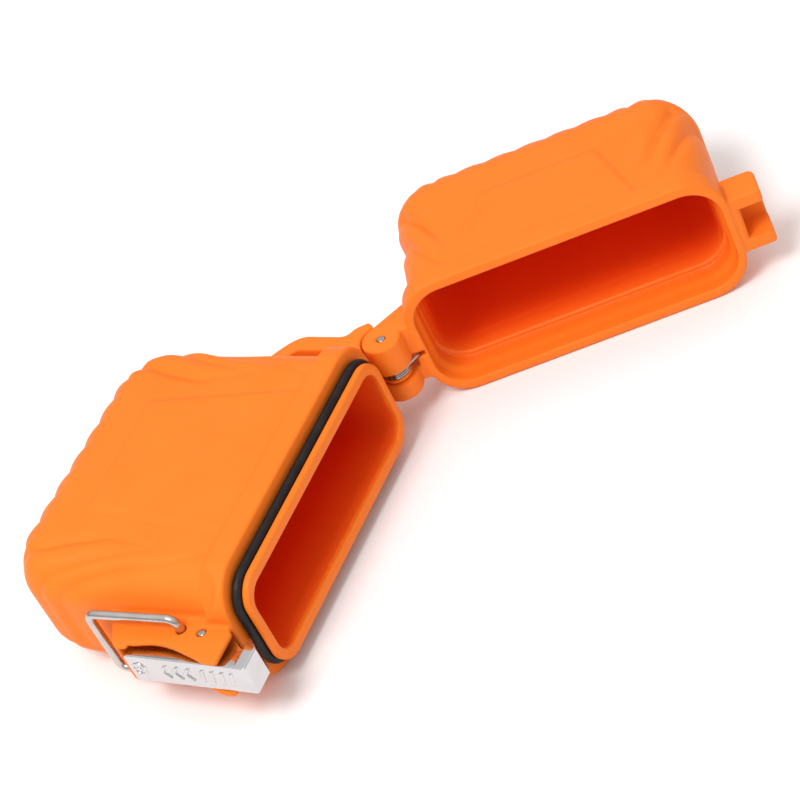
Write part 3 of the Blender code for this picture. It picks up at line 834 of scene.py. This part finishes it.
def make_inside_painted_shade(name, turn, rim, start, end, near, deep):
    """Glossy inside, plain orange at the rim, then painted shade from start to end, all as y: the
    colour runs from near to deep, a deeper red that stands in for the shade further into the
    cavity.
    """
    mat, tree, node = shader(name, Roughness=0.38, Specular_IOR_Level=0.35)
    local = coordinates(tree, place=(tuple(ORIGIN), turn))
    split = tree.nodes.new("ShaderNodeSeparateXYZ")
    tree.links.new(local, split.inputs["Vector"])
    # Painted shade: depth runs 0 to 1 from start to end, blending the near colour into the deeper,
    # darker red further inside
    depth = spread(tree, split.outputs["Y"], start * MM, end * MM, 0.0, 1.0)
    at = coordinates(tree)
    cloud = spread(tree, noise(tree, at, 55.0, 3.0), 0.3, 0.7, 0.0, 1.0)
    sides = [blend_colours(tree, cloud, tuple(0.97 * c for c in colour), colour)
             for colour in (near, deep)]
    lip_end = rim + math.copysign(LIP_WIDTH, end)
    lip = spread(tree, split.outputs["Y"], rim * MM, lip_end * MM, 0.0, 1.0)
    colour = blend_colours(tree, lip, ORANGE_LIGHT, blend_colours(tree, depth, *sides))
    tree.links.new(colour, node.inputs["Base Color"])
    rough = spread(tree, noise(tree, at, 180.0, 4.0), 0.3, 0.7, 0.33, 0.43)
    tree.links.new(rough, node.inputs["Roughness"])
    bump_from(tree, node, noise(tree, at, 2400.0, 2.0), 0.05, 0.00002)
    return mat


def make_rubber():
    """Black rubber with specks of dust."""
    mat, tree, node = shader("black_rubber", Specular_IOR_Level=0.25)
    at = coordinates(tree)
    dust = spread(tree, noise(tree, at, 2600.0, 2.0, 0.6), 0.66, 0.76, 0.0, 0.55)
    base = spread(tree, noise(tree, at, 320.0, 3.0), 0.3, 0.7, 0.0, 1.0)
    colour = blend_colours(tree, base, (0.009, 0.0075, 0.008), (0.017, 0.0145, 0.015))
    tree.links.new(blend_colours(tree, dust, colour, (0.16, 0.14, 0.13)), node.inputs["Base Color"])
    rough = spread(tree, noise(tree, at, 1200.0, 3.0), 0.3, 0.7, 0.42, 0.6)
    tree.links.new(rough, node.inputs["Roughness"])
    bump_from(tree, node, noise(tree, at, 2600.0, 3.0), 0.2, 0.00004)
    return mat


def make_metal(name, light, dark, rough_low, rough_high, stretch, wave):
    """Plated or drawn metal, with fine lines along stretch and soft tarnish."""
    mat, tree, node = shader(name, Metallic=1.0)
    lines = noise(tree, coordinates(tree, stretch), 1000.0, 3.0, 0.6)
    cloud = spread(tree, noise(tree, coordinates(tree), 260.0, 3.0), 0.3, 0.7, 0.0, 1.0)
    tree.links.new(blend_colours(tree, cloud, light, dark), node.inputs["Base Color"])
    tree.links.new(spread(tree, lines, 0.3, 0.7, rough_low, rough_high), node.inputs["Roughness"])
    bump_from(tree, node, lines, wave, 0.00002)
    return mat


ORANGE_LIGHT = (0.95, 0.205, 0.016)
ORANGE_DARK = (0.935, 0.192, 0.013)
OUTSIDE = make_orange()
# Both insides carry painted shade: the colour goes a deeper, darker red further into the cavity,
# where the shade falls
BODY_INSIDE_PAINTED_SHADE = make_inside_painted_shade("orange_glossy_body_painted_shade", 0.0, 3.9, 2.0, -9.0, (0.93, 0.11, 0.009),
                          (0.93, 0.045, 0.004))
LID_INSIDE_PAINTED_SHADE = make_inside_painted_shade("orange_glossy_lid_painted_shade", OPEN_ANGLE, 0.1, 5.0, 15.0, ORANGE_LIGHT,
                         (0.98, 0.1, 0.009))
RUBBER = make_rubber()
CHROME = make_metal("chrome_plate", (0.66, 0.645, 0.65), (0.61, 0.6, 0.605), 0.05, 0.1,
                    (1.0, 1.0, 1.0), 0.02)
STEEL = make_metal("pin_steel", (0.5, 0.49, 0.48), (0.36, 0.35, 0.34), 0.16, 0.3,
                   (1.0, 1.0, 0.15), 0.08)
BRUSHED = make_metal("drawn_wire", (0.6, 0.57, 0.545), (0.52, 0.49, 0.465), 0.2, 0.32,
                     (2.0, 0.12, 0.5), 0.06)

# ---------------------------------------------------------------- the object

body = make_shell("body_shell_moulding", body_field, body_skin, (-6.4, -63.4, -17.6),
                  (93.6, 5.0, 17.6), CASE, [OUTSIDE, BODY_INSIDE_PAINTED_SHADE], BODY_DEPTH, BODY_GROOVES,
                  BODY_GROOVE_DEEP, (20.4, 16.0, 44.8), 32.5, body_inner)
lid = make_shell("lid_shell_moulding", lid_field, lid_skin, (-6.4, -6.0, -17.6),
                 (92.0, 48.4, 17.6), LID, [OUTSIDE, LID_INSIDE_PAINTED_SHADE], LID_DEPTH, LID_GROOVES,
                 LID_GROOVE_DEEP, (19.7, 14.1, 27.2), 10.5, lid_inner)
lever = make_lever()
seal = make_seal()
hinge_spring = make_hinge_spring()
latch_spring = make_latch_spring()
bail = make_bail()
hinge_pin = lathe("hinge_pin_wire", pin_profile(-8.6, 7.0), (0.0, 0.0), CASE, STEEL)
latch_pin = lathe("latch_pin_wire", pin_profile(-5.5, 5.5), (LATCH_X, LATCH_Y), CASE, STEEL)

PIECES = (
    (body, "case", "body_shell", "orange_plastic"),
    (lid, "lid", "lid_shell", "orange_plastic"),
    (lever, "latch", "latch_lever", "chrome_plate"),
    (seal, "case", "neck_seal", "black_rubber"),
    (hinge_spring, "case", "hinge_spring", "steel_wire"),
    (latch_spring, "case", "latch_spring", "steel_wire"),
    (bail, "bail", "bail_ring", "steel_wire"),
    (hinge_pin, "case", "hinge_pin", "steel_wire"),
    (latch_pin, "case", "latch_pin", "steel_wire"),
)
for piece, body_name, node_name, slot_name in PIECES:
    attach(piece, body_name)
    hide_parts(node_name)

# ------------------------------------------------------ floor, light, camera

FLOOR_HALF = 6.0
FLOOR_Z = -0.0002


def make_floor():
    mat, tree, node = shader("pale_floor", Roughness=0.9, Specular_IOR_Level=0.1)
    at = coordinates(tree)
    soft = spread(tree, noise(tree, at, 4.0, 2.0), 0.3, 0.7, 0.0, 1.0)
    colour = blend_colours(tree, soft, (0.93, 0.93, 0.93), (0.95, 0.95, 0.95))
    tree.links.new(colour, node.inputs["Base Color"])
    corners = np.array([(FLOOR_HALF * a, FLOOR_HALF * b, FLOOR_Z)
                        for a, b in ((-1, -1), (1, -1), (1, 1), (-1, 1))])
    floor = add_mesh("floor", corners, np.array([(0, 1, 2, 3)]), Matrix.Identity(4), [mat])


def make_light(name, spot, size, power):
    """A square light aimed at the middle of the base."""
    made = bpy.data.lights.new(name, "AREA")
    made.shape = "RECTANGLE"
    made.size = made.size_y = size
    made.energy = power
    light = bpy.data.objects.new(name, made)
    bpy.context.scene.collection.objects.link(light)
    light.location = spot
    light.rotation_euler = (-Vector(spot)).to_track_quat("-Z", "Y").to_euler()


def make_world(strength):
    """White all round, dimmer near the horizon."""
    world = bpy.data.worlds.new("studio")
    bpy.context.scene.world = world
    world.use_nodes = True
    tree = world.node_tree
    back = tree.nodes["Background"]
    back.inputs["Color"].default_value = (1.0, 1.0, 1.0, 1.0)
    source = tree.nodes.new("ShaderNodeTexCoord")
    split = tree.nodes.new("ShaderNodeSeparateXYZ")
    tree.links.new(source.outputs["Generated"], split.inputs["Vector"])
    tree.links.new(spread(tree, split.outputs["Z"], 0.0, 0.85, 0.25 * strength, strength),
                   back.inputs["Strength"])


def make_camera(place, turn, lens):
    made = bpy.data.cameras.new("view")
    made.sensor_width = 36.0
    made.lens = lens
    made.clip_start = 0.01
    made.clip_end = 30.0
    camera = bpy.data.objects.new("view", made)
    bpy.context.scene.collection.objects.link(camera)
    camera.location = place
    camera.rotation_mode = "QUATERNION"
    camera.rotation_quaternion = Quaternion(turn)
    bpy.context.scene.camera = camera


make_floor()
make_world(0.96)
make_light("key", (0.5, 0.0, 0.866), 0.35, 5.8)
make_camera((0.340584, 0.297972, 0.376703), (0.554512, 0.078802, 0.425548, 0.710785), 116.7235)
bpy.context.scene.view_settings.view_transform = "Standard"

bpy.context.view_layer.update()
